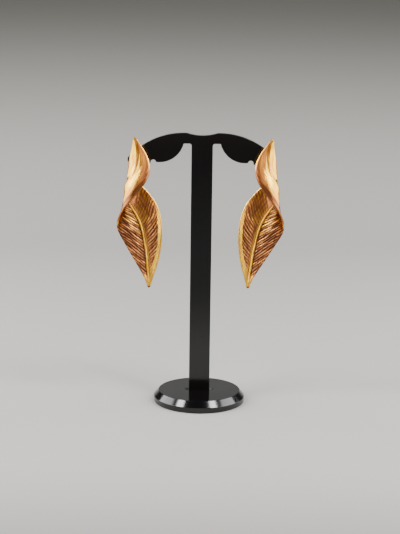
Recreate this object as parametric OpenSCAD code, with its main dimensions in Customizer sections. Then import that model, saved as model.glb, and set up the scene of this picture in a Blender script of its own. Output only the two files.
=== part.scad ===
// A mirrored pair of cast leaf stud earrings, hung on a plain acrylic T-stand.
// X is to the right, Y to the back and Z up. The origin is the middle of the base's underside.

/* [Stand base] */
// Diameter of the round base
base_d = 45; // [38:0.5:60]
// Thickness of the base
base_t = 5.6; // [4:0.1:8]
// How far the bevel runs in from the base's side
bevel_in = 2.4; // [1:0.1:4]
// How far the bevel runs down from the base's top
bevel_down = 2.8; // [1:0.1:3.5]
// Floor left under the slot
slot_floor = 1.2; // [0.8:0.1:2]

/* [Stand upright] */
// Width of the post
post_w = 10.2; // [8:0.1:12]
// Thickness of the acrylic sheet
sheet_t = 3; // [2:0.1:4]
// Width of the foot inside the base's slot
foot_w = 13.8; // [12:0.1:18]
// Height of the crossbar's two crests above the table
crest_z = 133.2; // [110:0.1:160]
// Distance of each crest from the middle
crest_x = 8.3; // [7.5:0.1:9]
// Radius of the crossbar's long upper curve
arch_r = 37; // [36:0.5:39]
// Reach of each arm from the middle
arm_reach = 35.7; // [34.5:0.1:36]
// Distance of each stud hole from the middle
hole_x = 30; // [29:0.1:31]
// Diameter of each stud hole
hole_d = 2; // [1.8:0.1:2.6]

/* [Leaf] */
// Thickness of the cast leaf
leaf_t = 1; // [0.8:0.1:1.3]
// How far in from the margin the rim starts to round
rim_w = 0.6; // [0.4:0.05:0.8]
// Height of the raised midrib at the stem
rib_h = 0.5; // [0.3:0.05:0.7]
// Half the midrib's width at the stem
rib_stem = 0.85; // [0.6:0.05:1]
// Half the midrib's width at the apex
rib_apex = 0.35; // [0.2:0.05:0.5]

/* [Fastening] */
// Diameter of the soldered ear post
pin_d = 0.9; // [0.8:0.05:1]
// Length of the ear post behind the sheet of the stand
pin_tail = 4.3; // [4:0.1:6]
// Diameter of the ear nut's flange
nut_d = 5.2; // [4:0.1:6]
// Length of the ear nut
nut_l = 3; // [2:0.1:3.5]

/* [How the pair hangs] */
// Side shift of the left earring's post from the middle of its hole
left_shift = 0.4; // [-0.4:0.05:0.4]
// Side shift of the right earring's post from the middle of its hole
right_shift = 0.4; // [-0.4:0.05:0.4]
// How far each post sinks below the middle of its hole
sink = 0.3; // [0:0.05:0.3]
// Extra swing of the right leaf's tip towards the post
right_swing = 2.5; // [-4:0.5:4]

/* [Hidden] */
gap = 0.1;
hole_below_crest = 10.3;
hole_z = crest_z - hole_below_crest;
sheet_back = sheet_t / 2;
stations = 62;

// The leaf's sections from apex to stem, in millimetres from the ear post's axis, X towards the middle of the
// pair and Y to the back. The margins are called near and far: the near margin sweeps across in front and the
// far one passes behind. A bow is how far the section between a margin and the midrib swells outwards.
// height, near_x, near_y, rib_x, rib_y, far_x, far_y, near_bow, far_bow
sections = [
    [  8.5,  -2.0, -4.6,  -2.6, -4.6,  -3.2, -4.6, 0.0, 0.0],
    [  5.0,   0.4, -4.8,  -2.0, -4.7,  -3.5, -4.2, 0.2, 0.1],
    [  1.0,   3.1, -5.3,  -1.5, -5.1,  -4.4, -3.5, 0.5, 0.4],
    [ -3.0,   4.8, -6.2,  -1.3, -6.0,  -5.2, -2.5, 0.8, 0.9],
    [ -7.0,   5.2, -7.6,  -1.9, -7.1,  -5.2, -1.2, 1.1, 1.7],
    [-11.0,   3.9, -9.1,  -4.4, -7.4,  -3.0, -0.3, 1.5, 2.4],
    [-15.0,   1.3,-10.3,  -7.1, -6.3,   0.8,  0.0, 1.9, 2.5],
    [-19.0,  -1.9,-10.8,  -7.4, -4.4,   4.8, -0.5, 2.2, 2.1],
    [-23.5,  -6.3,-10.3,  -5.4, -2.5,   8.0, -1.5, 2.2, 1.7],
    [-28.0,  -9.4, -8.9,  -2.4, -1.2,   9.7, -2.7, 2.2, 1.4],
    [-32.0, -10.9, -7.4,  -0.4, -0.6,  10.5, -3.7, 1.9, 1.2],
    [-36.0, -10.8, -6.1,   0.8, -0.4,  10.8, -4.3, 1.5, 1.0],
    [-40.0,  -8.6, -5.2,   1.7, -0.4,  10.7, -4.5, 1.2, 0.9],
    [-46.0,  -5.5, -4.2,   2.7, -0.6,  10.2, -4.2, 0.8, 0.7],
    [-53.0,  -1.6, -3.1,   3.5, -0.9,   8.8, -3.3, 0.5, 0.5],
    [-60.0,   2.4, -2.1,   4.1, -1.2,   6.4, -2.1, 0.2, 0.2],
    [-65.2,   4.1, -1.6,   4.4, -1.5,   4.8, -1.6, 0.1, 0.1],
];
leaf_l = sections[0][0] - sections[len(sections) - 1][0];

// A smooth section at v, from 0 at the apex to 1 at the stem, blended from the four nearest rows
spans = len(sections) - 1;
framed = concat(
    [2 * sections[0] - sections[1]],
    sections,
    [2 * sections[spans] - sections[spans - 1]]);
function weights(t) = [
    pow(1 - t, 3),
    3 * pow(t, 3) - 6 * t * t + 4,
    -3 * pow(t, 3) + 3 * t * t + 3 * t + 1,
    pow(t, 3)] / 6;
function section_at(v) = let (
    place = v * spans,
    i = min(floor(place), spans - 1))
    weights(place - i) * [framed[i], framed[i + 1], framed[i + 2], framed[i + 3]];

// A bowed line from a to b, at t from 0 to 1
function bowed(a, b, bow, t) = let (
    chord = b - a,
    side = [-chord[1], chord[0]] / max(norm(chord), 0.01),
    pull = (a + b) / 2 + 2 * bow * side)
    (1 - t) * (1 - t) * a + 2 * t * (1 - t) * pull + t * t * b;

// The sheet's middle surface: u is -1 at the near margin, 0 on the midrib and 1 at the far margin
function middle(v, u) = let (
    row = section_at(v),
    rib = [row[3], row[4]],
    flat = u < 0
        ? bowed([row[1], row[2]], rib, row[7], 1 + u)
        : bowed(rib, [row[5], row[6]], row[8], u))
    [flat[0], flat[1], row[0]];
least_lobe = 0.3;
function lobe_w(v, side) = let (
    row = section_at(v),
    margin = side < 0 ? [row[1], row[2]] : [row[5], row[6]])
    max(norm(margin - [row[3], row[4]]), least_lobe);

// Unit normal out of the veined face
step = 0.002;
function normal(v, u) = let (
    down = middle(min(v + step, 1), u) - middle(max(v - step, 0), u),
    across = middle(v, min(u + step, 1)) - middle(v, max(u - step, -1)),
    n = cross(down, across))
    n / max(norm(n), 0.000001);

// Places across the leaf: the rim's rounding, the open lobe, then the rib's flank and its top.
// rim_steps and rib_steps are shares of the rim's width and of the rib's half-width. In the narrow tips the
// rim and the rib take no more than most_rim and most_rib of a lobe.
rim_steps = [0, 0.12, 0.45, 1];
rib_steps = [1, 0.5];
lobe_steps = 5;
most_rim = 0.3;
most_rib = 0.5;
function rim_share(v, side) = min(most_rim, rim_w / lobe_w(v, side));
function rib_half(v) = rib_apex + (rib_stem - rib_apex) * v;
function rib_share(v, side) = min(most_rib, rib_half(v) / lobe_w(v, side));
function places(v, side) = let (
    rim = rim_share(v, side),
    rib = rib_share(v, side))
    concat(
        [for (k = rim_steps) 1 - k * rim],
        [for (k = [1 : lobe_steps - 1]) 1 - rim - (1 - rim - rib) * k / lobe_steps],
        [for (k = rib_steps) k * rib]);
function across_places(v) = concat(
    [for (u = places(v, -1)) -u],
    [0],
    let (far = places(v, 1)) [for (k = [len(far) - 1 : -1 : 0]) far[k]]);

// A quarter-round rise from 0 to 1
function rounding(k) = let (c = min(max(k, 0), 1)) sqrt(c * (2 - c));
function half_t(v, u) = leaf_t / 2 * rounding((1 - abs(u)) / rim_share(v, u));

// The midrib's rise above the veined face, tallest at the stem
apex_rise = 0.35;
function rib_rise(v, u) = let (off = min(1, abs(u) / rib_share(v, u)))
    rib_h * (apex_rise + (1 - apex_rise) * v) * pow(1 - off * off, 2);

// Stations along the leaf, closer together at its two rounded ends
end_round = 0.7;
end_v = end_round / leaf_l;
end_steps = [0.1, 0.4];
station_vs = concat(
    [for (k = end_steps) k * end_v],
    [for (k = [0 : stations - 1]) end_v + (1 - 2 * end_v) * k / (stations - 1)],
    [for (k = [len(end_steps) - 1 : -1 : 0]) 1 - end_steps[k] * end_v]);
function ring(v) = let (
    us = across_places(v),
    n = len(us),
    hub = middle(v, 0),
    swell = rounding(min(v, 1 - v) / end_v),
    front = [for (u = us) middle(v, u) + normal(v, u) * (half_t(v, u) + rib_rise(v, u))],
    back = [for (k = [n - 2 : -1 : 1]) middle(v, us[k]) - normal(v, us[k]) * half_t(v, us[k])])
    [for (p = concat(front, back)) hub + (p - hub) * swell];

module leaf_sheet() {
    rings = [for (v = station_vs) ring(v)];
    count = len(rings);
    around = len(rings[0]);
    last = (count - 1) * around;
    apex = count * around;
    points = concat([for (r = rings) each r], [middle(0, 0)], [middle(1, 0)]);
    faces = concat(
        [for (i = [0 : count - 2]) for (k = [0 : around - 1]) let (n = (k + 1) % around)
            each [
                [i * around + k, (i + 1) * around + n, (i + 1) * around + k],
                [i * around + k, i * around + n, (i + 1) * around + n]]],
        [for (k = [0 : around - 1]) [apex, (k + 1) % around, k]],
        [for (k = [0 : around - 1]) [apex + 1, last + k, last + (k + 1) % around]]);
    polyhedron(points, faces);
}

// The ear post, soldered to the veined face where it turns to the back
pin_root = -5.6;
solder_d = 2.2;
solder_l = 1;
module ear_post() {
    rotate([-90, 0, 0]) {
        translate([0, 0, pin_root]) cylinder(d = pin_d, h = sheet_back + pin_tail - pin_root, $fn = 32);
        translate([0, 0, pin_root]) cylinder(d1 = solder_d, d2 = pin_d, h = solder_l, $fn = 32);
    }
}

module leaf_with_post() {
    color("goldenrod") union() {
        leaf_sheet();
        ear_post();
    }
}

module left_leaf() {
    translate([-hole_x + left_shift, 0, hole_z - sink]) leaf_with_post();
}

module right_leaf() {
    translate([hole_x + right_shift, 0, hole_z - sink])
        rotate([0, right_swing, 0]) mirror([1, 0, 0]) leaf_with_post();
}

// The ear nut: a flange, a neck and a round end, bored for the post
nut_neck_d = 3.2;
nut_flange_t = 0.6;
nut_play = 0.05;
module ear_nut() {
    bore = pin_d / 2 + nut_play;
    nose = nut_neck_d / 2 - nut_flange_t;
    color("darkgoldenrod") rotate([-90, 0, 0]) translate([0, 0, sheet_back + gap / 2])
        rotate_extrude($fn = 64) difference() {
            union() {
                square([nut_d / 2, nut_flange_t]);
                square([nut_neck_d / 2, nut_l - nut_flange_t]);
                square([nose, nut_l]);
                translate([nose, nut_l - nut_flange_t]) intersection() {
                    circle(r = nut_flange_t, $fn = 32);
                    square(nut_flange_t);
                }
            }
            square([bore, nut_l]);
        }
}

module left_ear_nut() {
    translate([-hole_x + left_shift, 0, hole_z - sink]) ear_nut();
}

module right_ear_nut() {
    translate([hole_x + right_shift, 0, hole_z - sink]) ear_nut();
}

// Upright: one sheet cut to outline. Each arm lies under the arch and is the sum of a bar and two lobes,
// with a necklace notch between the lobes.
bar_under = 5.1;
dip_r = 24;
dip_down = 1.2;
fillet_r = 1;
// lobes: middle_x, middle_z below the crest, radius
inner_lobe = [20.5, 2.2, 12];
outer_lobe = [29.7, 5.4, 10.5];
notch = [23.4, 14.2, 1.3];
module disc_at(spot) {
    translate([spot[0], crest_z - spot[1]]) circle(r = spot[2], $fn = 96);
}

module arm_outline() {
    difference() {
        intersection() {
            translate([crest_x, crest_z - arch_r]) circle(r = arch_r, $fn = 180);
            translate([0, crest_z - arch_r]) square([arm_reach, arch_r]);
            union() {
                translate([0, crest_z - bar_under]) square([inner_lobe[0], bar_under]);
                disc_at(inner_lobe);
                disc_at(outer_lobe);
            }
        }
        disc_at(notch);
    }
}

module corner_fillet() {
    translate([post_w / 2, crest_z - bar_under - fillet_r]) difference() {
        square(fillet_r);
        translate([fillet_r, 0]) circle(r = fillet_r, $fn = 32);
    }
}

module upright_outline() {
    difference() {
        union() {
            arm_outline();
            mirror([1, 0]) arm_outline();
            translate([-post_w / 2, slot_floor]) square([post_w, crest_z - bar_under / 2 - slot_floor]);
            translate([-foot_w / 2, slot_floor]) square([foot_w, base_t - slot_floor]);
            corner_fillet();
            mirror([1, 0]) corner_fillet();
        }
        translate([0, crest_z - dip_down + dip_r]) circle(r = dip_r, $fn = 120);
    }
}

module stand_upright() {
    color("#101012") difference() {
        rotate([90, 0, 0]) linear_extrude(sheet_t, center = true) upright_outline();
        for (side = [-1, 1])
            translate([side * hole_x, 0, hole_z]) rotate([90, 0, 0])
                cylinder(d = hole_d, h = 2 * sheet_t, center = true, $fn = 48);
    }
}

// Base: a bevelled disc with a slot for the foot
base_edge = 0.3;
module stand_base() {
    color("#101012") difference() {
        rotate_extrude($fn = 180) polygon([
            [0, 0],
            [base_d / 2 - base_edge, 0],
            [base_d / 2, base_edge],
            [base_d / 2, base_t - bevel_down],
            [base_d / 2 - bevel_in, base_t],
            [0, base_t]]);
        translate([-foot_w / 2 - gap, -sheet_back - gap, slot_floor])
            cube([foot_w + 2 * gap, sheet_t + 2 * gap, base_t]);
    }
}

stand_base();
stand_upright();
left_leaf();
right_leaf();
left_ear_nut();
right_ear_nut();
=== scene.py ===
import math

import bmesh
import bpy
import numpy as np
from mathutils import Matrix, Vector


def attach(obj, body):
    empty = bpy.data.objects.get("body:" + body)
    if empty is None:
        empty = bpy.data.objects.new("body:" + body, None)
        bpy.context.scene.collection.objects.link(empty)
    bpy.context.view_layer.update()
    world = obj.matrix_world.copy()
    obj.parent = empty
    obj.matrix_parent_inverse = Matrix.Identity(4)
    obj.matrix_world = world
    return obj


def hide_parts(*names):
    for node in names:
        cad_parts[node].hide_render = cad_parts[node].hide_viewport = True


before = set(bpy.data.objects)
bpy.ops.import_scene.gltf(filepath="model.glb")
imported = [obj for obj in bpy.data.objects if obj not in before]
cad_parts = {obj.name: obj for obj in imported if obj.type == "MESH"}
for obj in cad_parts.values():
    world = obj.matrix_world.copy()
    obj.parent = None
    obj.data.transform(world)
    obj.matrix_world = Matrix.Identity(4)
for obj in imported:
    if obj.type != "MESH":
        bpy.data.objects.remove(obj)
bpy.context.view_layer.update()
mm = 0.001               # sizes below are in millimetres, as they are in the part's source
print("frame loaded:", sorted(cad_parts))


# Helpers

def toLinear(hexColour):
    # sRGB hex to linear RGBA: c / 12.92 below the knee, else ((c + 0.055) / 1.055) ** 2.4
    rgb = np.array([int(hexColour[i:i + 2], 16) for i in (1, 3, 5)]) / 255
    linear = np.where(rgb <= 0.04045, rgb / 12.92, ((rgb + 0.055) / 1.055) ** 2.4)
    return (*linear, 1.0)


def addNode(tree, kind, settings=None, links=None):
    # settings are properties or input values by name or number, links are input to output socket
    node = tree.nodes.new(kind)
    for key, value in (settings or {}).items():
        if isinstance(key, int) or key in node.inputs:
            node.inputs[key].default_value = value
        else:
            setattr(node, key, value)
    for key, socket in (links or {}).items():
        tree.links.new(socket, node.inputs[key])
    return node


def smoothStep(low, high, x):
    # 0 at low and 1 at high, whichever of them is larger, with the cubic 3t^2 - 2t^3 between
    t = np.clip((x - low) / (high - low), 0, 1)
    return t * t * (3 - 2 * t)


def between(a, b, t):
    # a at 0 and b at 1
    return a + (b - a) * t


def gridFaces(rows, columns, closed=True):
    # quads of a rows x columns grid of points, numbered row by row, joined round when closed
    i = np.arange(rows - 1)[:, None]
    k = np.arange(columns if closed else columns - 1)[None, :]
    n = (k + 1) % columns
    quads = [i * columns + k, (i + 1) * columns + k, (i + 1) * columns + n, i * columns + n]
    return np.stack([q + 0 * i + 0 * k for q in quads], -1).reshape(-1, 4)


def closedTube(rings, firstPole, lastPole):
    # rings of points plus one pole at each end, as one closed skin
    rows, columns, _ = rings.shape
    points = np.vstack([rings.reshape(-1, 3), firstPole, lastPole])
    k = np.arange(columns)
    n = (k + 1) % columns
    first = np.stack([0 * k + rows * columns, k, n], -1)
    last = np.stack([0 * k + rows * columns + 1, (rows - 1) * columns + n, (rows - 1) * columns + k], -1)
    return points, gridFaces(rows, columns).tolist() + first.tolist() + last.tolist()


def arc(centre, radius, fromDegrees, toDegrees, steps):
    # points of a circular arc, both ends included
    angle = np.radians(np.linspace(fromDegrees, toDegrees, steps + 1))
    return np.stack([centre[0] + radius * np.cos(angle), centre[1] + radius * np.sin(angle)], -1)


def makePiece(name, points, faces, material, node, smoothAngle=None):
    # a mesh piece at the origin, riding on the one body and standing for its CAD node
    mesh = bpy.data.meshes.new(name)
    mesh.from_pydata(np.asarray(points, float).tolist(), [], faces)
    mesh.polygons.foreach_set("use_smooth", np.ones(len(mesh.polygons), bool))
    if smoothAngle:
        mesh.set_sharp_from_angle(angle=math.radians(smoothAngle))
    mesh.update()
    mesh.materials.append(material)
    piece = bpy.data.objects.new(name, mesh)
    bpy.context.scene.collection.objects.link(piece)
    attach(piece, "root")
    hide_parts(node)
    return piece


# Camera, at the photograph's height and angle

shot = {
    "distance": 600, "height": 191.3,                  # in front of the stand's post, and above the table
    "yaw": -0.03, "pitchDown": 11.64, "roll": -0.75,   # degrees
    "focalPixels": 1253, "frameHeight": 534,
    "sensor": 36,
    "clipNear": 0.01, "clipFar": 20,                   # metres
}


def makeCamera():
    # looks along yaw and pitch, with the picture then rolled about that line
    yaw = math.radians(shot["yaw"])
    pitch = math.radians(shot["pitchDown"])
    roll = math.radians(shot["roll"])
    forward = Vector((math.sin(yaw) * math.cos(pitch), math.cos(yaw) * math.cos(pitch), -math.sin(pitch)))
    level = Vector((math.cos(yaw), -math.sin(yaw), 0))
    upright = level.cross(forward)
    right = level * math.cos(roll) - upright * math.sin(roll)
    up = upright * math.cos(roll) + level * math.sin(roll)
    data = bpy.data.cameras.new("camera")
    data.sensor_width = shot["sensor"]
    data.lens = shot["focalPixels"] / shot["frameHeight"] * shot["sensor"]
    data.clip_start, data.clip_end = shot["clipNear"], shot["clipFar"]
    camera = bpy.data.objects.new("camera", data)
    turn = Matrix((right, up, -forward)).transposed().to_4x4()
    camera.matrix_world = Matrix.Translation((0, -shot["distance"] * mm, shot["height"] * mm)) @ turn
    bpy.context.scene.collection.objects.link(camera)
    bpy.context.scene.camera = camera


makeCamera()
print("camera made")


# Materials

goldLook = {
    # patina and recess, the ramp's darker tones, paint soot in the lines and painted shade alike
    "metal": "#FDC934", "thin": "#E8A048", "patina": "#AD6F43", "recess": "#482C1F",
    "thinAt": 0.2, "patinaAt": 0.45,       # along the ramp from the bare plating to the deepest line
    "roughFrom": 0.17, "roughTo": 0.25, "recessRoughness": 0.30,
    "mottleSize": 4.0,                     # millimetres across one patch of the plating's tone
    "scratchAcross": 0.22, "scratchAlong": 2.4, "scratchDepth": 0.03,
    "streakAcross": 1.1, "streakAlong": 7.0, "streakDepth": 0.18,
    "streakTone": 0.28, "streakFrom": 0.45, "streakTo": 0.75,
}


def goldPlatedBrass():
    # Gold-plated brass, cast and then polished: clear reflections, warmer and duller in the engraved lines
    material = bpy.data.materials.new("goldPlatedBrass")
    material.use_nodes = True
    tree = material.node_tree
    shader = tree.nodes["Principled BSDF"]
    shader.inputs["Metallic"].default_value = 1.0
    place = addNode(tree, "ShaderNodeTexCoord")
    # recess carries the lines' soot together with painted shade and painted glints on the front, and painted
    # shade on the back
    deep = addNode(tree, "ShaderNodeAttribute", {"attribute_name": "recess"})
    field = addNode(tree, "ShaderNodeAttribute", {"attribute_name": "field"})
    # the polishing wheel's soft streaks down the leaf, where the plating is also a little thinner and redder
    brushPlace = addNode(tree, "ShaderNodeAttribute", {"attribute_name": "brushPlace"})
    brushedOut = addNode(
        tree, "ShaderNodeMapping", {"Scale": (1 / goldLook["streakAcross"], 1 / goldLook["streakAlong"], 1)},
        {"Vector": brushPlace.outputs["Vector"]})
    streak = addNode(
        tree, "ShaderNodeTexNoise", {"Scale": 1.0, "Detail": 2.0, "Roughness": 0.55},
        {"Vector": brushedOut.outputs["Vector"]})
    thinner = addNode(
        tree, "ShaderNodeMapRange",
        {"From Min": goldLook["streakFrom"], "From Max": goldLook["streakTo"],
         "To Max": goldLook["streakTone"]},
        {"Value": streak.outputs["Fac"]})
    toned = addNode(
        tree, "ShaderNodeMath", {"operation": "ADD"}, {0: deep.outputs["Fac"], 1: thinner.outputs["Result"]})
    tones = addNode(tree, "ShaderNodeValToRGB", None, {"Fac": toned.outputs[0]})
    tones.color_ramp.elements[0].color = toLinear(goldLook["metal"])
    tones.color_ramp.elements[1].color = toLinear(goldLook["recess"])
    for tone in ("thin", "patina"):
        tones.color_ramp.elements.new(goldLook[tone + "At"]).color = toLinear(goldLook[tone])
    tree.links.new(tones.outputs["Color"], shader.inputs["Base Color"])
    mottle = addNode(
        tree, "ShaderNodeTexNoise", {"Scale": 1 / (goldLook["mottleSize"] * mm), "Detail": 3.0},
        {"Vector": place.outputs["Object"]})
    rough = addNode(
        tree, "ShaderNodeMapRange",
        {"To Min": goldLook["roughFrom"], "To Max": goldLook["roughTo"]},
        {"Value": mottle.outputs["Fac"]})
    duller = addNode(
        tree, "ShaderNodeMix", {"data_type": "FLOAT", 3: goldLook["recessRoughness"]},
        {0: deep.outputs["Fac"], 2: rough.outputs["Result"]})
    tree.links.new(duller.outputs[0], shader.inputs["Roughness"])
    # fine graver scratches along the veins: noise on the vein's own millimetres, drawn out lengthwise
    veinPlace = addNode(tree, "ShaderNodeAttribute", {"attribute_name": "veinPlace"})
    drawnOut = addNode(
        tree, "ShaderNodeMapping",
        {"Scale": (1 / goldLook["scratchAcross"], 1 / goldLook["scratchAlong"], 1)},
        {"Vector": veinPlace.outputs["Vector"]})
    scratch = addNode(
        tree, "ShaderNodeTexNoise", {"Scale": 1.0, "Detail": 2.0, "Roughness": 0.6},
        {"Vector": drawnOut.outputs["Vector"]})
    brushed = addNode(
        tree, "ShaderNodeMapRange", {"To Max": goldLook["streakDepth"] / goldLook["scratchDepth"]},
        {"Value": streak.outputs["Fac"]})
    worked = addNode(
        tree, "ShaderNodeMix", {"data_type": "FLOAT"},
        {0: field.outputs["Fac"], 2: brushed.outputs["Result"], 3: scratch.outputs["Fac"]})
    bump = addNode(
        tree, "ShaderNodeBump", {"Strength": 1.0, "Distance": goldLook["scratchDepth"] * mm},
        {"Height": worked.outputs[0]})
    tree.links.new(bump.outputs["Normal"], shader.inputs["Normal"])
    return material


nutLook = {
    "metal": "#F3C684", "roughFrom": 0.14, "roughTo": 0.26,
    "turnMark": 0.15, "markLength": 5.0, "markDepth": 0.004,   # millimetres
}


def turnedNutBrass():
    # Brass turned on a lathe and lightly polished: bright, with faint rings round its axis
    material = bpy.data.materials.new("turnedNutBrass")
    material.use_nodes = True
    tree = material.node_tree
    shader = tree.nodes["Principled BSDF"]
    shader.inputs["Base Color"].default_value = toLinear(nutLook["metal"])
    shader.inputs["Metallic"].default_value = 1.0
    place = addNode(tree, "ShaderNodeTexCoord")
    rings, crossings = 1 / (nutLook["turnMark"] * mm), 1 / (nutLook["markLength"] * mm)
    stretch = addNode(
        tree, "ShaderNodeMapping", {"Scale": (crossings, rings, crossings)},
        {"Vector": place.outputs["Object"]})
    marks = addNode(
        tree, "ShaderNodeTexNoise", {"Scale": 1.0, "Detail": 2.0}, {"Vector": stretch.outputs["Vector"]})
    rough = addNode(
        tree, "ShaderNodeMapRange",
        {"To Min": nutLook["roughFrom"], "To Max": nutLook["roughTo"]},
        {"Value": marks.outputs["Fac"]})
    tree.links.new(rough.outputs["Result"], shader.inputs["Roughness"])
    bump = addNode(
        tree, "ShaderNodeBump", {"Strength": 1.0, "Distance": nutLook["markDepth"] * mm},
        {"Height": marks.outputs["Fac"]})
    tree.links.new(bump.outputs["Normal"], shader.inputs["Normal"])
    return material


acrylicLook = {
    "colour": "#040405", "ior": 1.49,
    "roughFrom": 0.10, "roughTo": 0.18, "smearSize": 18.0,
    "peelSize": 6.0, "peelDepth": 0.010,   # the faint waviness of a cast sheet, in millimetres
}


def blackAcrylic():
    # Cast black acrylic, laser cut and flame polished: near-black with sharp, very slightly wavy reflections
    material = bpy.data.materials.new("blackAcrylic")
    material.use_nodes = True
    tree = material.node_tree
    shader = tree.nodes["Principled BSDF"]
    shader.inputs["Base Color"].default_value = toLinear(acrylicLook["colour"])
    shader.inputs["IOR"].default_value = acrylicLook["ior"]
    place = addNode(tree, "ShaderNodeTexCoord")
    smear = addNode(
        tree, "ShaderNodeTexNoise", {"Scale": 1 / (acrylicLook["smearSize"] * mm), "Detail": 4.0},
        {"Vector": place.outputs["Object"]})
    rough = addNode(
        tree, "ShaderNodeMapRange",
        {"To Min": acrylicLook["roughFrom"], "To Max": acrylicLook["roughTo"]},
        {"Value": smear.outputs["Fac"]})
    tree.links.new(rough.outputs["Result"], shader.inputs["Roughness"])
    peel = addNode(
        tree, "ShaderNodeTexNoise", {"Scale": 1 / (acrylicLook["peelSize"] * mm), "Detail": 1.0},
        {"Vector": place.outputs["Object"]})
    bump = addNode(
        tree, "ShaderNodeBump", {"Strength": 1.0, "Distance": acrylicLook["peelDepth"] * mm},
        {"Height": peel.outputs["Fac"]})
    tree.links.new(bump.outputs["Normal"], shader.inputs["Normal"])
    return material


gold = goldPlatedBrass()
nutBrass = turnedNutBrass()
acrylic = blackAcrylic()
print("materials made")


# Leaves: one twisted sheet each, with its margins and midrib carried down from the apex to the stem

leafSize = {
    "thick": 1.0, "rimWidth": 0.6, "endRound": 0.7, "endSteps": (0.04, 0.15, 0.35, 0.65),
    "ribRise": 0.5, "apexRise": 0.35, "ribStem": 0.85, "ribApex": 0.35,
    "mostRim": 0.3, "mostRib": 0.5, "leastLobe": 0.3,
    "stations": 490, "lobeColumns": 64, "rimColumns": 4, "ribColumns": 5,
    "backColumns": 17, "backRimColumns": 3, "backRibColumns": 2,
}
# height, nearX, nearY, ribX, ribY, farX, farY, nearBow, farBow: the part's own sections
leafSections = np.array([
    [  8.5,  -2.0, -4.6,  -2.6, -4.6,  -3.2, -4.6, 0.0, 0.0],
    [  5.0,   0.4, -4.8,  -2.0, -4.7,  -3.5, -4.2, 0.2, 0.1],
    [  1.0,   3.1, -5.3,  -1.5, -5.1,  -4.4, -3.5, 0.5, 0.4],
    [ -3.0,   4.8, -6.2,  -1.3, -6.0,  -5.2, -2.5, 0.8, 0.9],
    [ -7.0,   5.2, -7.6,  -1.9, -7.1,  -5.2, -1.2, 1.1, 1.7],
    [-11.0,   3.9, -9.1,  -4.4, -7.4,  -3.0, -0.3, 1.5, 2.4],
    [-15.0,   1.3,-10.3,  -7.1, -6.3,   0.8,  0.0, 1.9, 2.5],
    [-19.0,  -1.9,-10.8,  -7.4, -4.4,   4.8, -0.5, 2.2, 2.1],
    [-23.5,  -6.3,-10.3,  -5.4, -2.5,   8.0, -1.5, 2.2, 1.7],
    [-28.0,  -9.4, -8.9,  -2.4, -1.2,   9.7, -2.7, 2.2, 1.4],
    [-32.0, -10.9, -7.4,  -0.4, -0.6,  10.5, -3.7, 1.9, 1.2],
    [-36.0, -10.8, -6.1,   0.8, -0.4,  10.8, -4.3, 1.5, 1.0],
    [-40.0,  -8.6, -5.2,   1.7, -0.4,  10.7, -4.5, 1.2, 0.9],
    [-46.0,  -5.5, -4.2,   2.7, -0.6,  10.2, -4.2, 0.8, 0.7],
    [-53.0,  -1.6, -3.1,   3.5, -0.9,   8.8, -3.3, 0.5, 0.5],
    [-60.0,   2.4, -2.1,   4.1, -1.2,   6.4, -2.1, 0.2, 0.2],
    [-65.2,   4.1, -1.6,   4.4, -1.5,   4.8, -1.6, 0.1, 0.1],
])
hangs = {
    "left_leaf": {"x": -29.6, "z": 122.6, "mirror": 1, "swing": 0.0},
    "right_leaf": {"x": 30.4, "z": 122.6, "mirror": -1, "swing": 2.5},
}


def sectionAt(v):
    # cubic B-spline blend of the four nearest rows, with the end rows carried on so that the ends are met
    rows = leafSections
    framed = np.vstack([2 * rows[0] - rows[1], rows, 2 * rows[-1] - rows[-2]])
    spans = len(rows) - 1
    place = np.clip(v, 0, 1) * spans
    i = np.minimum(place.astype(int), spans - 1)
    t = (place - i)[..., None]
    return ((1 - t) ** 3 * framed[i] + (3 * t ** 3 - 6 * t ** 2 + 4) * framed[i + 1]
            + (-3 * t ** 3 + 3 * t ** 2 + 3 * t + 1) * framed[i + 2] + t ** 3 * framed[i + 3]) / 6


def bowedLine(a, b, bow, t):
    # quadratic curve from a to b whose pull point stands 2 * bow off the chord's middle, to its side
    chord = b - a
    length = np.maximum(np.linalg.norm(chord, axis=-1, keepdims=True), 0.01)
    side = np.stack([-chord[..., 1], chord[..., 0]], -1) / length
    pull = (a + b) / 2 + 2 * bow[..., None] * side
    t = t[..., None]
    return (1 - t) ** 2 * a + 2 * t * (1 - t) * pull + t ** 2 * b


def middleSurface(v, u):
    # u runs from -1 at the near margin through 0 on the midrib to 1 at the far margin
    row = sectionAt(v)
    rib = row[..., 3:5]
    near = bowedLine(row[..., 1:3], rib, row[..., 7], np.clip(1 + u, 0, 1))
    far = bowedLine(rib, row[..., 5:7], row[..., 8], np.clip(u, 0, 1))
    flat = np.where(u[..., None] < 0, near, far)
    return np.concatenate([flat, row[..., :1]], -1)


def lobeWidth(v, u):
    # straight distance from the midrib to the margin on the side of u
    row = sectionAt(v)
    margin = np.where(u[..., None] < 0, row[..., 1:3], row[..., 5:7])
    return np.maximum(np.linalg.norm(margin - row[..., 3:5], axis=-1), leafSize["leastLobe"])


def surfaceNormal(v, u, step=0.002):
    # cross product of the steps down and across the leaf, which points out of the veined face
    down = middleSurface(np.minimum(v + step, 1), u) - middleSurface(np.maximum(v - step, 0), u)
    across = middleSurface(v, np.minimum(u + step, 1)) - middleSurface(v, np.maximum(u - step, -1))
    n = np.cross(down, across)
    return n / np.maximum(np.linalg.norm(n, axis=-1, keepdims=True), 1e-9)


def rounding(k):
    # quarter-circle rise from 0 to 1
    c = np.clip(k, 0, 1)
    return np.sqrt(c * (2 - c))


def halfThickness(v, u):
    # half the sheet, rounded off over the rim's width at each margin
    rim = np.minimum(leafSize["mostRim"], leafSize["rimWidth"] / lobeWidth(v, u))
    return leafSize["thick"] / 2 * rounding((1 - np.abs(u)) / rim)


def ribHalfWidth(v):
    # widens evenly from the apex to the stem
    return between(leafSize["ribApex"], leafSize["ribStem"], v)


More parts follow.
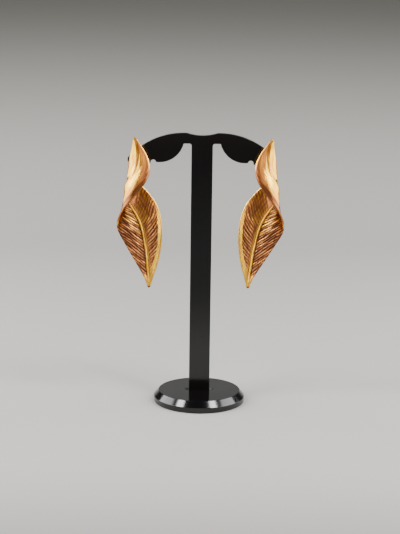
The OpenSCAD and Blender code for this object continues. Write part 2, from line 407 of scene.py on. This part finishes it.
def ribRise(v, u):
    # the midrib's height above the veined face: (1 - off^2)^2 across it, and tallest at the stem
    reach = np.minimum(leafSize["mostRib"], ribHalfWidth(v) / lobeWidth(v, u))
    off = np.minimum(1, np.abs(u) / reach)
    return leafSize["ribRise"] * between(leafSize["apexRise"], 1, v) * (1 - off ** 2) ** 2


def placesAcross(v, lobeColumns, rimColumns, ribColumns):
    # for each station: the rim's rounding, the open lobe, the rib's flank; then the same mirrored
    halves = {}
    for side in (-1, 1):
        width = lobeWidth(v, np.full_like(v, side))
        rim = np.minimum(leafSize["mostRim"], leafSize["rimWidth"] / width)[:, None]
        rib = np.minimum(leafSize["mostRib"], ribHalfWidth(v) / width)[:, None]
        rimSteps = (np.arange(rimColumns) / rimColumns) ** 2
        lobeSteps = np.arange(lobeColumns) / lobeColumns
        ribSteps = 1 - np.arange(ribColumns) / ribColumns
        halves[side] = np.hstack([
            1 - rimSteps * rim,
            1 - rim - (1 - rim - rib) * lobeSteps,
            ribSteps * rib])
    return np.hstack([-halves[-1], np.zeros((len(v), 1)), halves[1][:, ::-1]])


# The leaf's engraved front, in millimetres. A pair is where a change starts and where it is complete, and it
# counts millimetres below the ear post where nothing else is said.

veins = {
    "nearSpacing": 1.2, "farSpacing": 1.1, "nearDepth": 0.28, "farDepth": 0.22,
    "nearRise": 40, "farRise": 44,                         # degrees above level, towards each margin
    "grooveHalf": 0.27, "tilt": 0.30,                      # in spacings, and the slope of a tilted ridge
    "cutMean": 0.74, "cutSwing": 0.26,                     # how a groove's depth changes along it
    "polished": (0.1, 0.9),                                # where along its slow wave a ridge is bare
    # two waves bend the strokes: size in spacings, then radians for each millimetre across and along them
    "wander": ((0.12, 0.9, 0.25), (0.08, -0.5, 0.45)), "wanderStart": 2,
    "fineSpacing": 0.46, "fineDepth": 0.03, "fineWander": 1.7,
    "throatShare": 0.40, "nearDeepens": (20, 31), "farDeepens": (24, 40),
    "innerShare": 0.55, "innerAt": (0.2, 0.5),             # shares of the far lobe, from the midrib out
    "fieldDepth": 0.06, "fade": 0.4,
    "nearEnd": -60, "farEnd": -56, "endFade": 3,           # heights, and the ear post is at 0
    "topFade": (-1, 4),                                    # heights too
    "ribBand": 0.05, "ribStrip": 0.7, "stripWidens": (20, 30),
    "nearBorder": -0.5, "foldBorder": 1.6, "foldEnds": (29, 35),
    "farBorder": 1.7, "upperBorder": 0.2, "farWidens": (20, 34),
    "feather": 0.9, "featherStarts": (26, 34),             # the far field's uneven outer edge
    "footLine": 0.1, "footWidth": 0.18, "footPlace": 0.02,   # the groove where the midrib meets the sheet
    "footStarts": (0, 0.25), "footEnds": (0.03, 0.08),     # shares of the leaf, from the apex and the stem
    "nearGrain": 40.0,                                     # sets the near lobe's scratches apart
}
# along a stroke: radians for each millimetre, how much they vary, and the salts of this rate and of the start
strokeWaves = {
    "depth": {"rate": 0.30, "spread": 0.3, "rateSalt": 3, "startSalt": 0},
    "tilt": {"rate": 0.35, "spread": 0.3, "rateSalt": 7, "startSalt": 9},
    "polish": {"rate": 0.50, "spread": 0.0, "rateSalt": 5, "startSalt": 5},
}
# a salt sets one kind of stroke apart from another, and turn and size scatter what strokeChance draws
salts = {"near": 57.0, "far": 11.0, "feather": 2, "turn": 12.9898, "size": 43758.5453}


def strokeChance(n, salt=0.0):
    # a steady number from 0 to 1 for stroke n: the fraction of a large multiple of sin(n)
    return np.mod(np.sin((n + salt) * salts["turn"]) * salts["size"], 1.0)


def strokeWave(name, n, salt, along):
    # a slow sine along stroke n, with a length and a start of its own
    wave = strokeWaves[name]
    rate = wave["rate"] + wave["spread"] * strokeChance(n, salt + wave["rateSalt"])
    return np.sin(along * rate + 2 * math.pi * strokeChance(n, salt + wave["startSalt"]))


def lobePlaces(v, u):
    # Where each point lies on its lobe. A stroke runs where height * cos - out * sin of the veins' rise stays
    # the same, and a lobe is as long as a shallow bow: its chord + 8/3 * bow^2 / chord.
    row = sectionAt(v)
    height = row[..., 0]
    near = u < 0
    chord = lobeWidth(v, u)
    bow = np.where(near, row[..., 7], row[..., 8])
    length = chord + 8 / 3 * bow ** 2 / chord
    out = np.abs(u) * length
    rise = np.radians(np.where(near, veins["nearRise"], veins["farRise"]))
    return {
        "near": near, "down": -height, "length": length, "out": out, "share": out / length,
        "across": height * np.cos(rise) - out * np.sin(rise),
        "along": height * np.sin(rise) + out * np.cos(rise),
    }


def veinStrokes(lobe):
    # narrow grooves, each a bell curve of its own changing depth, part flat ridges that each tilt a little
    near, across, along = lobe["near"], lobe["across"], lobe["along"]
    salt = np.where(near, salts["near"], salts["far"])
    wander = 0
    for (size, acrossRate, alongRate), start in zip(veins["wander"], (salt, veins["wanderStart"])):
        wander = wander + size * np.sin(acrossRate * across + alongRate * along + start)
    spacing = np.where(near, veins["nearSpacing"], veins["farSpacing"])
    turns = across / spacing + wander
    ridge, groove = np.floor(turns), np.round(turns)
    bell = np.exp(-((turns - groove) / veins["grooveHalf"]) ** 2)
    depth = veins["cutMean"] + veins["cutSwing"] * strokeWave("depth", groove, salt, along)
    lean = veins["tilt"] * strokeWave("tilt", ridge, salt, along) * (turns - ridge - 0.5) * spacing
    fine = 0.5 + 0.5 * np.cos(2 * math.pi * (across / veins["fineSpacing"] + veins["fineWander"] * wander))
    return {
        "bell": bell, "line": bell * depth, "lean": lean, "fine": fine,
        "polish": smoothStep(*veins["polished"], 0.5 + 0.5 * strokeWave("polish", ridge, salt, along)),
        "feather": veins["feather"] * strokeChance(ridge, salt + salts["feather"]),
    }


def veinField(v, lobe, strokes):
    # 1 where the graver worked, and 0 on the midrib, on the polished borders and at both ends
    near, down, out = lobe["near"], lobe["down"], lobe["out"]
    strip = between(veins["ribBand"], veins["ribStrip"], smoothStep(*veins["stripWidens"], down))
    low = ribHalfWidth(v) + np.where(near, veins["ribBand"], strip)
    nearBorder = between(veins["foldBorder"], veins["nearBorder"], smoothStep(*veins["foldEnds"], down))
    farBorder = between(veins["upperBorder"], veins["farBorder"], smoothStep(*veins["farWidens"], down))
    farBorder = farBorder + strokes["feather"] * smoothStep(*veins["featherStarts"], down)
    high = lobe["length"] - np.where(near, nearBorder, farBorder)
    end = np.where(near, veins["nearEnd"], veins["farEnd"])
    return (smoothStep(low - veins["fade"] / 2, low + veins["fade"] / 2, out)
            * (1 - smoothStep(high - veins["fade"], high, out))
            * smoothStep(end, end + veins["endFade"], -down)
            * (1 - smoothStep(*veins["topFade"], -down)))


# Tones of the front, partly the finish's soot and partly painted shade and painted glints, in the engraved
# lines and beyond: 0 is bare plating and 1 the darkest tone.
# A pair whose name ends in At counts shares of the lobe, from the midrib out, and one in Down millimetres
# below the ear post.

sootAndPaintedLight = {
    "field": 0.54, "fieldFades": 0.12,                     # fades where the grooves are cut deepest
    "ridge": 0.2, "polish": 0.44, "line": 0.55, "fine": 0.08,
    # the near lobe's ridges, lightened near the midrib as painted glints, over a wider band higher up
    "paintedGlint": 0.5, "paintedGlintDown": (46, 36), "upperDown": (40, 30),
    "upperPaintedGlintAt": (1.0, 0.6), "lowerPaintedGlintAt": (0.5, 0.2),
    # the near lobe, with painted shade from its middle out and a painted highlight at its upper margin
    "nearDown": (48, 38), "nearOuter": 0.16, "nearOuterAt": (0.3, 0.5),
    "nearMargin": -0.50, "nearMarginAt": (0.55, 0.8), "nearMarginDown": (36, 30),
    # the far lobe, with painted light making it brighter higher up, and painted shade where its throat meets
    # the midrib
    "farUpper": -0.20, "farUpperDown": (38, 30), "innerAt": (0.55, 0.3), "farInner": -0.08,
    "throat": -0.12, "throatInner": 0.16, "throatDown": (28, 20),
    "deepThroat": 0.25, "deepThroatAt": (0.65, 0.4), "deepThroatDown": (24, 18),
    # painted shade in the groove at the midrib's foot and at the folded margin over the throat, and the
    # stem's end
    "foot": 0.8, "stemEnd": (1.3, 0.6),                    # millimetres from the stem's end
    "foldEdge": 0.45, "foldEdgeIn": (0.9, 0.3),            # millimetres in from the near margin
    "foldStartsDown": (8, 14), "foldEndsDown": (34, 29),
}


def fieldTone(lobe, strokes, strength):
    # darkest in the grooves, bare on the polished ridges, with painted shade heaviest in the throat beside
    # the midrib and painted glints on the near lobe's ridges
    near, down, share = lobe["near"], lobe["down"], lobe["share"]
    upper = smoothStep(*sootAndPaintedLight["upperDown"], down)
    # painted glints: the near lobe's ridges are lightened near the midrib
    (upperOut, upperIn), (lowerOut, lowerIn) = sootAndPaintedLight["upperPaintedGlintAt"], sootAndPaintedLight["lowerPaintedGlintAt"]
    paintedGlint = smoothStep(between(lowerOut, upperOut, upper), between(lowerIn, upperIn, upper), share)
    paintedGlint = sootAndPaintedLight["paintedGlint"] * near * paintedGlint * smoothStep(*sootAndPaintedLight["paintedGlintDown"], down)
    # painted shade over the near lobe's outer part and a painted highlight at its upper margin
    nearPaintedLight = sootAndPaintedLight["nearOuter"] * smoothStep(*sootAndPaintedLight["nearOuterAt"], share)
    margin = smoothStep(*sootAndPaintedLight["nearMarginAt"], share) * smoothStep(*sootAndPaintedLight["nearMarginDown"], down)
    nearPaintedLight = (nearPaintedLight + sootAndPaintedLight["nearMargin"] * margin) * smoothStep(*sootAndPaintedLight["nearDown"], down)
    # painted shade in the throat beside the midrib, and painted light brightening the far lobe higher up
    throat = smoothStep(*sootAndPaintedLight["throatDown"], down)
    inner = smoothStep(*sootAndPaintedLight["innerAt"], share)
    farPaintedLight = throat * (sootAndPaintedLight["throatInner"] * inner + sootAndPaintedLight["throat"])
    farPaintedLight = farPaintedLight + (1 - throat) * sootAndPaintedLight["farInner"] * inner
    farPaintedLight = farPaintedLight + sootAndPaintedLight["farUpper"] * smoothStep(*sootAndPaintedLight["farUpperDown"], down)
    deep = smoothStep(*sootAndPaintedLight["deepThroatAt"], share) * smoothStep(*sootAndPaintedLight["deepThroatDown"], down)
    farPaintedLight = farPaintedLight + sootAndPaintedLight["deepThroat"] * deep
    bare = (sootAndPaintedLight["polish"] + paintedGlint) * strokes["polish"] * (1 - strokes["bell"])
    ridgeTone = sootAndPaintedLight["ridge"] - bare + sootAndPaintedLight["line"] * strokes["line"] + sootAndPaintedLight["fine"] * strokes["fine"]
    return sootAndPaintedLight["field"] + np.where(near, nearPaintedLight, farPaintedLight) + strength * ridgeTone


def veinRelief(v, u):
    # for each point of the front: how deep it is cut, how dark it is, how far engraved, its place on its vein
    lobe = lobePlaces(v, u)
    near, down, out = lobe["near"], lobe["down"], lobe["out"]
    strokes = veinStrokes(lobe)
    field = veinField(v, lobe, strokes)
    nearShare, farShare = smoothStep(*veins["nearDeepens"], down), smoothStep(*veins["farDeepens"], down)
    deepened = between(veins["throatShare"], 1, np.where(near, nearShare, farShare))
    outer = between(veins["innerShare"], 1, smoothStep(*veins["innerAt"], lobe["share"]))
    strength = deepened * np.where(near, 1.0, outer)
    depth = np.where(near, veins["nearDepth"], veins["farDepth"])
    cut = depth * strokes["line"] + (1 - strokes["bell"]) * strokes["lean"]
    cut = cut + veins["fineDepth"] * strokes["fine"]
    foot = np.exp(-((out - ribHalfWidth(v) - veins["footPlace"]) / veins["footWidth"]) ** 2)
    foot = foot * smoothStep(*veins["footStarts"], v) * smoothStep(*veins["footEnds"], 1 - v)
    relief = field * (veins["fieldDepth"] + strength * cut) + veins["footLine"] * foot
    tone = fieldTone(lobe, strokes, strength) - sootAndPaintedLight["fieldFades"] * deepened
    stem = smoothStep(*sootAndPaintedLight["stemEnd"], -down - leafSections[-1, 0])
    # painted shade along the near margin where the fold overhangs the throat
    fold = smoothStep(*sootAndPaintedLight["foldStartsDown"], down) * smoothStep(*sootAndPaintedLight["foldEndsDown"], down)
    foldEdge = sootAndPaintedLight["foldEdge"] * fold * near * smoothStep(*sootAndPaintedLight["foldEdgeIn"], lobe["length"] - out)
    # painted shade in the groove at the midrib's foot, added to the front's tones
    recess = np.clip(field * tone + sootAndPaintedLight["foot"] * foot + foldEdge + stem, 0, 1)
    veinPlace = np.stack([lobe["across"], lobe["along"], np.where(near, veins["nearGrain"], 0.0)], -1)
    return relief, recess, field, veinPlace


# The leaf's smooth back. A pair in Down is as above, and one in In counts shares from the midrib to the near
# margin. Red and crease are tones of painted shade.

backLook = {
    "wave": 0.02, "waveLength": 3.4, "waveSlant": 0.16, "waveStart": 1,
    "cross": 0.6, "crossTurn": 0.43, "crossSlant": -0.31,   # a second, longer wave over the first
    "ribRise": 0.36, "ribHalf": 0.6, "ribEndsDown": (17.5, 10),
    "ribStarts": (0, 0.06),                                 # shares of the leaf, from the apex
    "red": 0.15, "lowerRed": 1.3, "lowerDown": (2, 10),
    "upperRedIn": (-0.2, 0.4), "lowerRedIn": (0.4, 0.8),
    "marginRed": 0.18, "marginRedIn": (0.55, 0.85), "bareIn": (0.88, 0.97),
    "crease": 0.36, "creasePlace": 0.1, "creaseHalf": 0.34,
    "creaseStartsDown": (0, 6), "creaseEndsDown": (19, 15),
}


def backRelief(v, u):
    # the hand finish's long streaks, which die out at the margins, and a low rib behind the midrib
    b = backLook
    out = u * lobeWidth(v, u)
    down = -sectionAt(v)[..., 0]
    turn = 2 * math.pi / b["waveLength"]
    wave = np.sin(turn * out - b["waveSlant"] * down + b["waveStart"])
    wave = wave + b["cross"] * np.sin(b["crossTurn"] * turn * out - b["crossSlant"] * down)
    rib = b["ribRise"] * np.exp(-(out / b["ribHalf"]) ** 2)
    rib = rib * smoothStep(*b["ribStarts"], v) * smoothStep(*b["ribEndsDown"], down)
    return rib - b["wave"] / 2 * wave * (1 - u ** 4)


def backTone(v, u):
    # redder towards the near margin as painted shade, but bare on the upper margin itself, with
    # painted shade beside the low rib's crest
    b = backLook
    down = -sectionAt(v)[..., 0]
    lower = smoothStep(*b["lowerDown"], down)
    (upperFrom, upperTo), (lowerFrom, lowerTo) = b["upperRedIn"], b["lowerRedIn"]
    # painted shade: redder and darker towards the near margin
    red = smoothStep(between(upperFrom, lowerFrom, lower), between(upperTo, lowerTo, lower), -u)
    red = b["red"] * (1 + b["lowerRed"] * lower) * red + b["marginRed"] * smoothStep(*b["marginRedIn"], -u)
    red = red * (1 - (1 - lower) * smoothStep(*b["bareIn"], -u))
    # painted shade beside the low rib's crest
    crease = np.exp(-((u * lobeWidth(v, u) - b["creasePlace"]) / b["creaseHalf"]) ** 2)
    crease = crease * smoothStep(*b["creaseStartsDown"], down) * smoothStep(*b["creaseEndsDown"], down)
    return red + b["crease"] * crease


def leafPoints():
    # one closed ring of points for each station: across the veined front, then back across the smooth side
    s = leafSize
    endShare = s["endRound"] / (leafSections[0, 0] - leafSections[-1, 0])
    endSteps = np.array(s["endSteps"]) * endShare
    v = np.concatenate([endSteps, np.linspace(endShare, 1 - endShare, s["stations"]), 1 - endSteps[::-1]])
    frontU = placesAcross(v, s["lobeColumns"], s["rimColumns"], s["ribColumns"])
    backU = placesAcross(v, s["backColumns"], s["backRimColumns"], s["backRibColumns"])
    backU = backU[:, -2:0:-1]              # the two margins belong to the front
    frontV, backV = v[:, None] + 0 * frontU, v[:, None] + 0 * backU
    relief, recess, field, veinPlace = veinRelief(frontV, frontU)
    half = halfThickness(frontV, frontU)
    lift = half + ribRise(frontV, frontU) - relief * half / (s["thick"] / 2)
    front = middleSurface(frontV, frontU) + surfaceNormal(frontV, frontU) * lift[..., None]
    drop = halfThickness(backV, backU) + backRelief(backV, backU)
    back = middleSurface(backV, backU) - surfaceNormal(backV, backU) * drop[..., None]
    rings = np.concatenate([front, back], 1)
    hub = middleSurface(v, 0 * v)[:, None]
    swell = rounding(np.minimum(v, 1 - v) / endShare)[:, None, None]
    rings = hub + (rings - hub) * swell
    ends = middleSurface(np.array([0.0, 1.0]), np.zeros(2))
    allV, allU = np.concatenate([frontV, backV], 1), np.concatenate([frontU, backU], 1)
    marks = {
        "recess": np.concatenate([recess, backTone(backV, backU)], 1),
        "field": np.concatenate([field, 0 * backU], 1),
        "veinPlace": np.concatenate([veinPlace, np.zeros((*backU.shape, 3))], 1),
        "brushPlace": np.stack([allU * lobeWidth(allV, allU), sectionAt(allV)[..., 0], 0 * allU], -1),
    }
    return rings, ends, marks


def placeLeaf(points, hang):
    # mirrored for the right ear, swung about the ear post, then carried to its hole
    angle = math.radians(hang["swing"])
    x = points[..., 0] * hang["mirror"]
    z = points[..., 2]
    turned = np.stack([x * math.cos(angle) + z * math.sin(angle), points[..., 1],
                       -x * math.sin(angle) + z * math.cos(angle)], -1)
    return (turned + [hang["x"], 0, hang["z"]]) * mm


def makeLeaf(name, node):
    # one leaf's blade as a closed skin, with the values that its material reads at every point
    hang = hangs[node]
    rings, ends, marks = leafPoints()
    placed, poles = placeLeaf(rings, hang), placeLeaf(ends, hang)
    points, faces = closedTube(placed, poles[:1], poles[1:])
    if hang["mirror"] > 0:
        faces = [face[::-1] for face in faces]
    piece = makePiece(name, points, faces, gold, node)
    for mark, values in marks.items():
        flat = values.ndim == 2
        attribute = piece.data.attributes.new(mark, "FLOAT" if flat else "FLOAT_VECTOR", "POINT")
        padded = np.concatenate([values.reshape(len(points) - 2, -1), np.zeros((2, 1 if flat else 3))])
        attribute.data.foreach_set("value" if flat else "vector", padded.ravel().astype(np.float32))
    print(name, "faces", len(faces))
    return piece


makeLeaf("left_leaf_blade", "left_leaf")
makeLeaf("right_leaf_blade", "right_leaf")
print("leaves made")


# Ear posts and ear nuts: outlines turned about the post's own line, which runs to the back

postSize = {
    "radius": 0.45, "root": -5.6, "tip": 5.8, "tipRound": 0.35,
    "solderRadius": 1.1, "solderLength": 1.0,
    "steps": 40, "filletSteps": 8, "tipSteps": 8,
    "tipTurn": 80, "cornerOver": 40,       # degrees
}
nutSize = {
    "flange": 2.6, "flangeThick": 0.6, "neck": 1.6, "length": 3.0, "round": 0.6, "bore": 0.5,
    "edge": 0.12, "start": 1.55,           # start is just behind the upright's back face
    "steps": 64, "edgeSteps": 4, "noseSteps": 10, "cornerOver": 40,
}


def turnAbout(outline, hang, steps):
    # outline is radius and distance to the back, carried round the line through the leaf's hole
    angle = np.linspace(0, 2 * math.pi, steps, endpoint=False)[None, :]
    radius, back = outline[:, :1], outline[:, 1:]
    return np.stack([
        hang["x"] + radius * np.cos(angle),
        back + 0 * angle,
        hang["z"] + radius * np.sin(angle)], -1) * mm


def makeEarPost(name, node):
    # straight wire with a round tip, and a hollow-sided solder fillet round its root
    p, hang = postSize, hangs[node]
    t = np.linspace(0, 1, p["filletSteps"] + 1)
    fillet = np.stack([
        between(p["radius"], p["solderRadius"], (1 - t) ** 2),
        p["root"] + p["solderLength"] * t], -1)
    tipCentre = (p["radius"] - p["tipRound"], p["tip"] - p["tipRound"])
    tip = arc(tipCentre, p["tipRound"], 0, p["tipTurn"], p["tipSteps"])
    rings = turnAbout(np.vstack([fillet, tip]), hang, p["steps"])
    ends = np.array([[hang["x"], p["root"], hang["z"]], [hang["x"], p["tip"], hang["z"]]]) * mm
    points, faces = closedTube(rings, ends[:1], ends[1:])
    faces = [face[::-1] for face in faces]
    return makePiece(name, points, faces, gold, node, p["cornerOver"])


def makeEarNut(name, node, leaf):
    # flange with soft edges, neck and round nose, with the bore as the inner side of the same closed ring
    n, hang = nutSize, hangs[leaf]
    flange, edge, start = n["flange"], n["edge"], n["start"]
    thick, nose, edgeSteps = n["flangeThick"], n["length"], n["edgeSteps"]
    outline = np.vstack([
        [[n["bore"], start]],
        arc((flange - edge, start + edge), edge, -90, 0, edgeSteps),
        arc((flange - edge, start + thick - edge), edge, 0, 90, edgeSteps),
        arc((n["neck"] + edge, start + thick + edge), edge, -90, -180, edgeSteps),
        arc((n["neck"] - n["round"], start + nose - n["round"]), n["round"], 0, 90, n["noseSteps"]),
        [[n["bore"] + edge, start + nose]],
        [[n["bore"], start + nose - edge]]])
    rings = turnAbout(outline, hang, n["steps"])
    rows, columns, _ = rings.shape
    faces = (gridFaces(rows + 1, columns) % (rows * columns))[:, ::-1].tolist()
    return makePiece(name, rings.reshape(-1, 3), faces, nutBrass, node, n["cornerOver"])


for side in ("left", "right"):
    makeEarPost(side + "_ear_post", side + "_leaf")
    makeEarNut(side + "_ear_nut_turned", side + "_ear_nut", side + "_leaf")
print("ear posts and ear nuts made")


# Stand base: a profile carried round, which turns from a circle into the slot's rectangle on the top face

baseSize = {
    "radius": 22.5, "thick": 5.6, "bevelIn": 2.4, "bevelDown": 2.8, "lowEdge": 0.3,
    "hub": 1.0,                            # radius of the first ring of the underside
    "softEdge": 0.14,                      # radius that flame polishing leaves on the cut edges
    "support": 0.1,                        # a ring this close to each soft edge keeps the flats flat
    "slotHalfLong": 7.0, "slotHalfWide": 1.6, "slotFloor": 1.2,
    "steps": 360, "cornerOver": 35,
}


def softCorner(before, corner, after, radius, steps=4):
    # replaces a corner of an outline by the arc that touches both sides: a quadratic curve is close enough
    a = (before - corner) / np.linalg.norm(before - corner)
    b = (after - corner) / np.linalg.norm(after - corner)
    half = math.acos(np.clip(a @ b, -1, 1)) / 2
    reach = radius / math.tan(half)
    t = np.linspace(0, 1, steps + 1)[:, None]
    return (1 - t) ** 2 * (corner + a * reach) + 2 * t * (1 - t) * corner + t ** 2 * (corner + b * reach)


def makeBase():
    # rings from the underside over the rim and the bevel to the top face, then down the slot to its floor
    b = baseSize
    radius, top, support = b["radius"], b["thick"], b["support"]
    corners = np.array([
        [0, 0], [radius - b["lowEdge"], 0], [radius, b["lowEdge"]],
        [radius, top - b["bevelDown"]], [radius - b["bevelIn"], top], [0, top]])
    outline = [[[b["hub"], 0.0]]]
    for i in range(1, len(corners) - 1):
        soft = softCorner(corners[i - 1], corners[i], corners[i + 1], b["softEdge"])
        into = (soft[0] - corners[i - 1]) / np.linalg.norm(soft[0] - corners[i - 1])
        away = (corners[i + 1] - soft[-1]) / np.linalg.norm(corners[i + 1] - soft[-1])
        outline += [[soft[0] - into * support], soft, [soft[-1] + away * support]]
    outline = np.vstack(outline)
    long, wide = b["slotHalfLong"], b["slotHalfWide"]
    corner = math.atan2(wide, long)
    angle = np.sort(np.concatenate([
        np.linspace(0, 2 * math.pi, b["steps"], endpoint=False),
        [corner, math.pi - corner, math.pi + corner, 2 * math.pi - corner]]))
    circle = np.stack([np.cos(angle), np.sin(angle)], -1)
    slot = circle / np.maximum(np.abs(circle[:, :1]) / long, np.abs(circle[:, 1:]) / wide)
    rings = [np.concatenate([circle * r, np.full((len(angle), 1), z)], 1) for r, z in outline]
    # down into the slot over a small round edge: a quarter circle's middle lies 0.3 of its radius in
    side = np.sign(slot)
    edge = b["softEdge"] / 2
    half = 0.3 * edge
    steps = [(edge + support, top), (edge, top), (half, top - half), (0, top - edge), (0, b["slotFloor"])]
    for shift, z in steps:
        rings.append(np.concatenate([slot + side * shift, np.full((len(angle), 1), z)], 1))
    ends = np.array([[0, 0, 0], [0, 0, b["slotFloor"]]]) * mm
    points, faces = closedTube(np.array(rings) * mm, ends[:1], ends[1:])
    faces = [face[::-1] for face in faces]
    return makePiece(
        "stand_base_disc", points, faces, acrylic, "stand_base", b["cornerOver"])


makeBase()
print("base made")


# Stand upright: the cut sheet itself, with the soft edges that flame polishing leaves

uprightSize = {
    "softEdge": 0.16, "segments": 3, "weldWithin": 0.001,
    "flatWithin": 1.0, "cornerOver": 30.0,   # degrees
}


def makeUpright():
    # a copy of the CAD's sheet, with its flat triangles joined and its sharp edges bevelled
    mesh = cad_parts["stand_upright"].data.copy()
    mesh.name = "stand_upright_sheet"
    work = bmesh.new()
    work.from_mesh(mesh)
    bmesh.ops.remove_doubles(work, verts=work.verts, dist=uprightSize["weldWithin"] * mm)
    bmesh.ops.dissolve_limit(
        work, angle_limit=math.radians(uprightSize["flatWithin"]), verts=work.verts, edges=work.edges)
    work.to_mesh(mesh)
    work.free()
    mesh.polygons.foreach_set("use_smooth", np.ones(len(mesh.polygons), bool))
    mesh.set_sharp_from_angle(angle=math.radians(uprightSize["cornerOver"]))
    mesh.materials.clear()
    mesh.materials.append(acrylic)
    piece = bpy.data.objects.new("stand_upright_sheet", mesh)
    bpy.context.scene.collection.objects.link(piece)
    bevel = piece.modifiers.new("softEdge", "BEVEL")
    bevel.width = uprightSize["softEdge"] * mm
    bevel.segments = uprightSize["segments"]
    bevel.limit_method = "ANGLE"
    bevel.angle_limit = math.radians(uprightSize["cornerOver"])
    bevel.harden_normals = True
    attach(piece, "root")
    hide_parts("stand_upright")
    return piece


makeUpright()
print("upright made")


# Stage: a paper sweep, pale where the stand rests, with painted shade making it greyer up the wall and
# towards the front

studio = {
    "halfWidth": 1.5, "wallDistance": 0.9, "bend": 0.5, "wallHeight": 1.8, "front": -1.05,   # metres
    "bendPoints": 24, "roughness": 0.8,
    "pale": "#A6A5A1", "grey": "#44443F", "dark": "#6A6A68",
    "greyFrom": 0.0, "greyTo": 0.22,       # metres up
    "darkFrom": -0.08, "darkTo": -0.26,    # metres towards the front
    "air": "#525254",
}


def makeStage():
    # a floor that bends up into a wall: straight, quarter circle, straight, carried along X
    d, r, h, w = studio["wallDistance"], studio["bend"], studio["wallHeight"], studio["halfWidth"]
    angle = np.linspace(0, math.pi / 2, studio["bendPoints"])
    y = np.concatenate([[studio["front"]], d - r + r * np.sin(angle), [d]])
    z = np.concatenate([[0.0], r - r * np.cos(angle), [h]])
    edges = [np.stack([x + 0 * y, y, z], -1) for x in (-w, w)]
    points = np.stack(edges, 1)
    mesh = bpy.data.meshes.new("studioFloor")
    mesh.from_pydata(points.reshape(-1, 3).tolist(), [], gridFaces(len(y), 2, closed=False).tolist())
    mesh.polygons.foreach_set("use_smooth", np.ones(len(mesh.polygons), bool))
    material = bpy.data.materials.new("studioPaperWithPaintedShade")
    material.use_nodes = True
    tree = material.node_tree
    shader = tree.nodes["Principled BSDF"]
    shader.inputs["Roughness"].default_value = studio["roughness"]
    place = addNode(tree, "ShaderNodeTexCoord")
    parts = addNode(tree, "ShaderNodeSeparateXYZ", None, {"Vector": place.outputs["Object"]})
    fades = {}
    # painted shade: greyer up the wall and darker towards the front
    for tone, direction in (("grey", "Z"), ("dark", "Y")):
        fades[tone] = addNode(
            tree, "ShaderNodeMapRange",
            {"interpolation_type": "SMOOTHSTEP",
             "From Min": studio[tone + "From"], "From Max": studio[tone + "To"]},
            {"Value": parts.outputs[direction]})
    wall = addNode(
        tree, "ShaderNodeMix",
        {"data_type": "RGBA", 6: toLinear(studio["pale"]), 7: toLinear(studio["grey"])},
        {0: fades["grey"].outputs["Result"]})
    paper = addNode(
        tree, "ShaderNodeMix", {"data_type": "RGBA", 7: toLinear(studio["dark"])},
        {0: fades["dark"].outputs["Result"], 6: wall.outputs[2]})
    tree.links.new(paper.outputs[2], shader.inputs["Base Color"])
    mesh.materials.append(material)
    floor = bpy.data.objects.new("studioFloor", mesh)
    bpy.context.scene.collection.objects.link(floor)


# name, place in metres, point that it faces, width, height, brightness, colour
lights = [
    ("softboxLeft", (-0.60, 0.08, 0.17), (0, 0.08, 0.17), 0.66, 0.28, 4.5, "#FFFFFF"),
    ("softboxRight", (0.60, 0.08, 0.17), (0, 0.08, 0.17), 0.66, 0.28, 4.5, "#FFFFFF"),
    ("upperLeft", (-0.60, 0.08, 0.43), (0, 0.08, 0.20), 0.66, 0.24, 9.0, "#FFFFFF"),
    ("upperRight", (0.60, -0.02, 0.49), (0, 0.02, 0.20), 0.62, 0.28, 9.0, "#FFFFFF"),
    ("sideFillLeft", (-0.54, -0.44, 0.33), (0, 0, 0.10), 0.30, 0.22, 4.3, "#FFFFFF"),
    ("sideFillRight", (0.54, -0.44, 0.33), (0, 0, 0.10), 0.30, 0.22, 4.5, "#FFFFFF"),
    ("sideLowLeft", (-0.56, -0.42, 0.13), (0, 0, 0.10), 0.34, 0.17, 3.6, "#FFF4E6"),
    ("sideLowRight", (0.56, -0.42, 0.13), (0, 0, 0.10), 0.34, 0.17, 3.6, "#FFF4E6"),
    ("sideHighLeft", (-0.54, -0.40, 0.52), (0, 0, 0.12), 0.36, 0.14, 1.6, "#FFF4E6"),
    ("sideHighRight", (0.54, -0.40, 0.52), (0, 0, 0.12), 0.36, 0.14, 1.6, "#FFF4E6"),
    ("rimLightLeft", (-0.52, -0.41, 0.63), (0, 0, 0.12), 0.22, 0.10, 22.0, "#FFFFFF"),
    ("rimLightRight", (0.52, -0.41, 0.63), (0, 0, 0.12), 0.22, 0.10, 20.0, "#FFFFFF"),
    ("overheadLeft", (-0.58, -0.25, 0.85), (0, 0, 0.05), 0.22, 0.20, 40.0, "#FFFFFF"),
    ("overheadRight", (0.44, -0.335, 0.85), (0, 0, 0.05), 0.20, 0.22, 40.0, "#FFFFFF"),
    ("frontFill", (0.05, -0.75, 0.48), (0, 0, 0.10), 0.50, 0.34, 1.3, "#FFEBD6"),
    ("lowFill", (0, -1.00, 0.42), (0, 0, 0.10), 1.60, 0.84, 0.32, "#FFDDBE"),
    ("topGlow", (0, 0.30, 0.95), (0, 0, 0.10), 0.70, 0.35, 2.5, "#FFFFFF"),
    ("backGlow", (0, 0.80, 0.26), (0, 0, 0.10), 1.20, 0.10, 0.35, "#FFFFFF"),
]


def makeLights():
    # an area lamp shines brightness * pi * area watts when each part of its face is that bright
    for name, place, facing, width, height, brightness, colour in lights:
        data = bpy.data.lights.new(name, "AREA")
        data.shape = "RECTANGLE"
        data.size, data.size_y = width, height
        data.color = toLinear(colour)[:3]
        data.energy = brightness * math.pi * width * height
        lamp = bpy.data.objects.new(name, data)
        lamp.location = place
        lamp.rotation_euler = (Vector(facing) - Vector(place)).to_track_quat("-Z", "Y").to_euler()
        bpy.context.scene.collection.objects.link(lamp)
    world = bpy.data.worlds.new("studioAir")
    world.use_nodes = True
    world.node_tree.nodes["Background"].inputs["Color"].default_value = toLinear(studio["air"])
    world.node_tree.nodes["Background"].inputs["Strength"].default_value = 1.0
    bpy.context.scene.world = world


makeStage()
makeLights()
print("stage and lights made")
